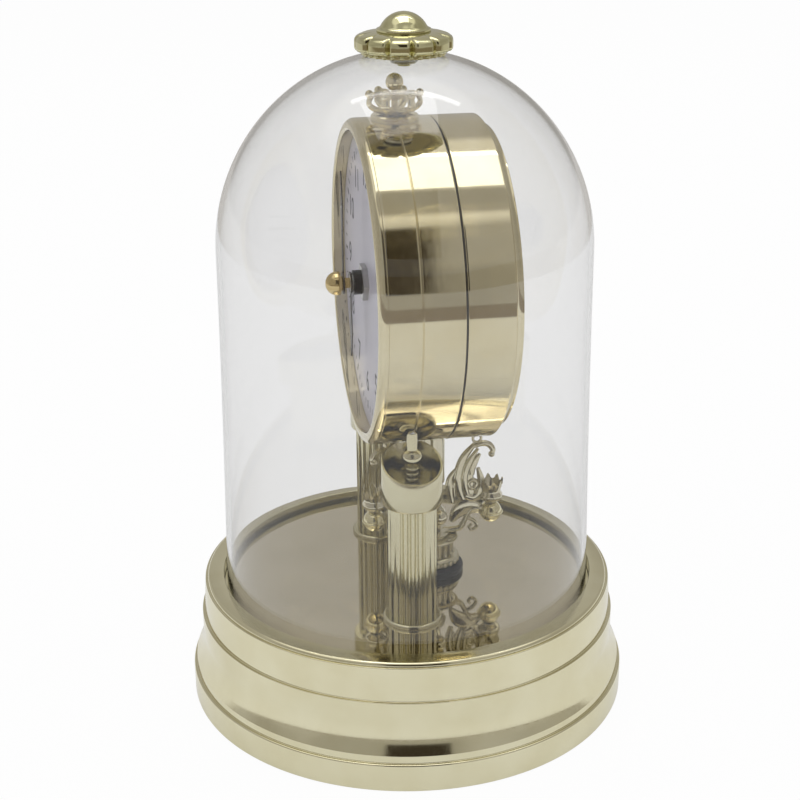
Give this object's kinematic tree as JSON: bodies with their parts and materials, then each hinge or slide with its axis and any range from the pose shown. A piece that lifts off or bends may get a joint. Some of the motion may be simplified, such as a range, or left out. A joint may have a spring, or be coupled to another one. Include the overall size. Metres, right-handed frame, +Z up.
{
  "type": "table clock",
  "caption": "table clock under a clear round dome with a gold drum on fluted columns, a turning pendulum and a stepped base",
  "frame": {"origin": "middle of the surface that the clock stands on, on the dome's axis", "axes": "+Z up, the dial faces -Y, the columns stand at +X and -X"},
  "size_m": [0.15, 0.15, 0.232],
  "materials": {
    "base_gold": "polished pale champagne gold plating",
    "floor_gold": "mirror-polished champagne plating",
    "column_gold": "polished gold plating",
    "drum_gold": "mirror-polished pale gold plating",
    "pendulum_gold": "polished silvery gold plating",
    "ball_gold": "polished gold plating",
    "finial_gold": "polished yellow gold plating",
    "brass_small": "turned brass",
    "clear_dome": "clear and smooth",
    "dial": "pale satin paint with printed dark figures",
    "hand_dark": "dark paint",
    "dark_band": "dark",
    "black_plastic": "black",
    "wheel_plastic": "natural white",
    "board": "bare board",
    "copper": "lacquered copper winding",
    "cell": "plain wrapped cell",
    "magnet": "bare magnet",
    "steel": "bright zinc",
    "rubber_pad": "black"
  },
  "bodies": {
    "clock": {"base_shell": "base_gold", "base_plate": "black_plastic", "base_screws": "steel", "base_pads": "rubber_pad", "floor_plate": "floor_gold", "foot_ring_right": "column_gold", "foot_ring_left": "column_gold", "column_right": "column_gold", "column_left": "column_gold", "capital_right": "column_gold", "capital_left": "column_gold", "spindle_right": "column_gold", "spindle_left": "column_gold", "tie_rods": "steel", "rod_nuts": "steel", "drum_body": "drum_gold", "bezel_ring": "drum_gold", "rear_shell": "drum_gold", "seam_band": "dark_band", "dial_plate": "dial", "movement_case": "black_plastic", "movement_cover": "black_plastic", "bushing_nut": "brass_small", "circuit_board": "board", "movement_coil": "copper", "battery": "cell", "battery_contacts": "steel", "drive_case": "black_plastic", "drive_cover": "black_plastic", "drive_coils": "copper", "guide_cup": "black_plastic", "crest_plinth": "drum_gold", "crest_scrolls": "pendulum_gold", "crest_spire": "pendulum_gold"},
    "dome": {"dome": "clear_dome", "finial_collar": "finial_gold", "finial_disc": "finial_gold", "finial_button": "finial_gold", "finial_nut": "steel"},
    "minute": {"minute_arbor": "brass_small", "minute_hand": "hand_dark", "hand_nut": "brass_small"},
    "hour": {"hour_wheel": "wheel_plastic", "hour_hand": "hand_dark"},
    "set_arbor": {"minute_wheel": "wheel_plastic", "setting_knob": "black_plastic"},
    "pendulum": {"drive_magnet": "magnet", "drive_shaft": "steel", "pendulum_stem": "pendulum_gold", "pendulum_arms": "pendulum_gold", "ball_front": "ball_gold", "ball_rear": "ball_gold", "crown_front": "pendulum_gold", "crown_rear": "pendulum_gold", "leaf_front": "pendulum_gold", "leaf_rear": "pendulum_gold", "lantern": "pendulum_gold", "bead_ring": "pendulum_gold"}
  },
  "joints": [
    {"name": "dome_lift", "type": "slide", "parent": "clock", "child": "dome", "axis": [0, 0, 1], "range_m": [0, 0.18]},
    {"name": "minute_turn", "type": "hinge", "parent": "clock", "child": "minute", "pos_m": [0, -0.0088, 0.146], "axis": [0, 1, 0], "continuous": true},
    {"name": "hour_turn", "type": "hinge", "parent": "clock", "child": "hour", "pos_m": [0, -0.0096, 0.146], "axis": [0, 1, 0], "continuous": true},
    {"name": "set_turn", "type": "hinge", "parent": "clock", "child": "set_arbor", "pos_m": [0.00779, 0, 0.1505], "axis": [0, 1, 0], "continuous": true},
    {"name": "pendulum_turn", "type": "hinge", "parent": "clock", "child": "pendulum", "pos_m": [0, 0.0094, 0.0905], "axis": [0, 0, 1], "continuous": true}
  ],
  "couplings": [
    {"joint": "hour_turn", "follows": "minute_turn", "ratio": 0.083333},
    {"joint": "set_turn", "follows": "minute_turn", "ratio": -0.33333}
  ]
}
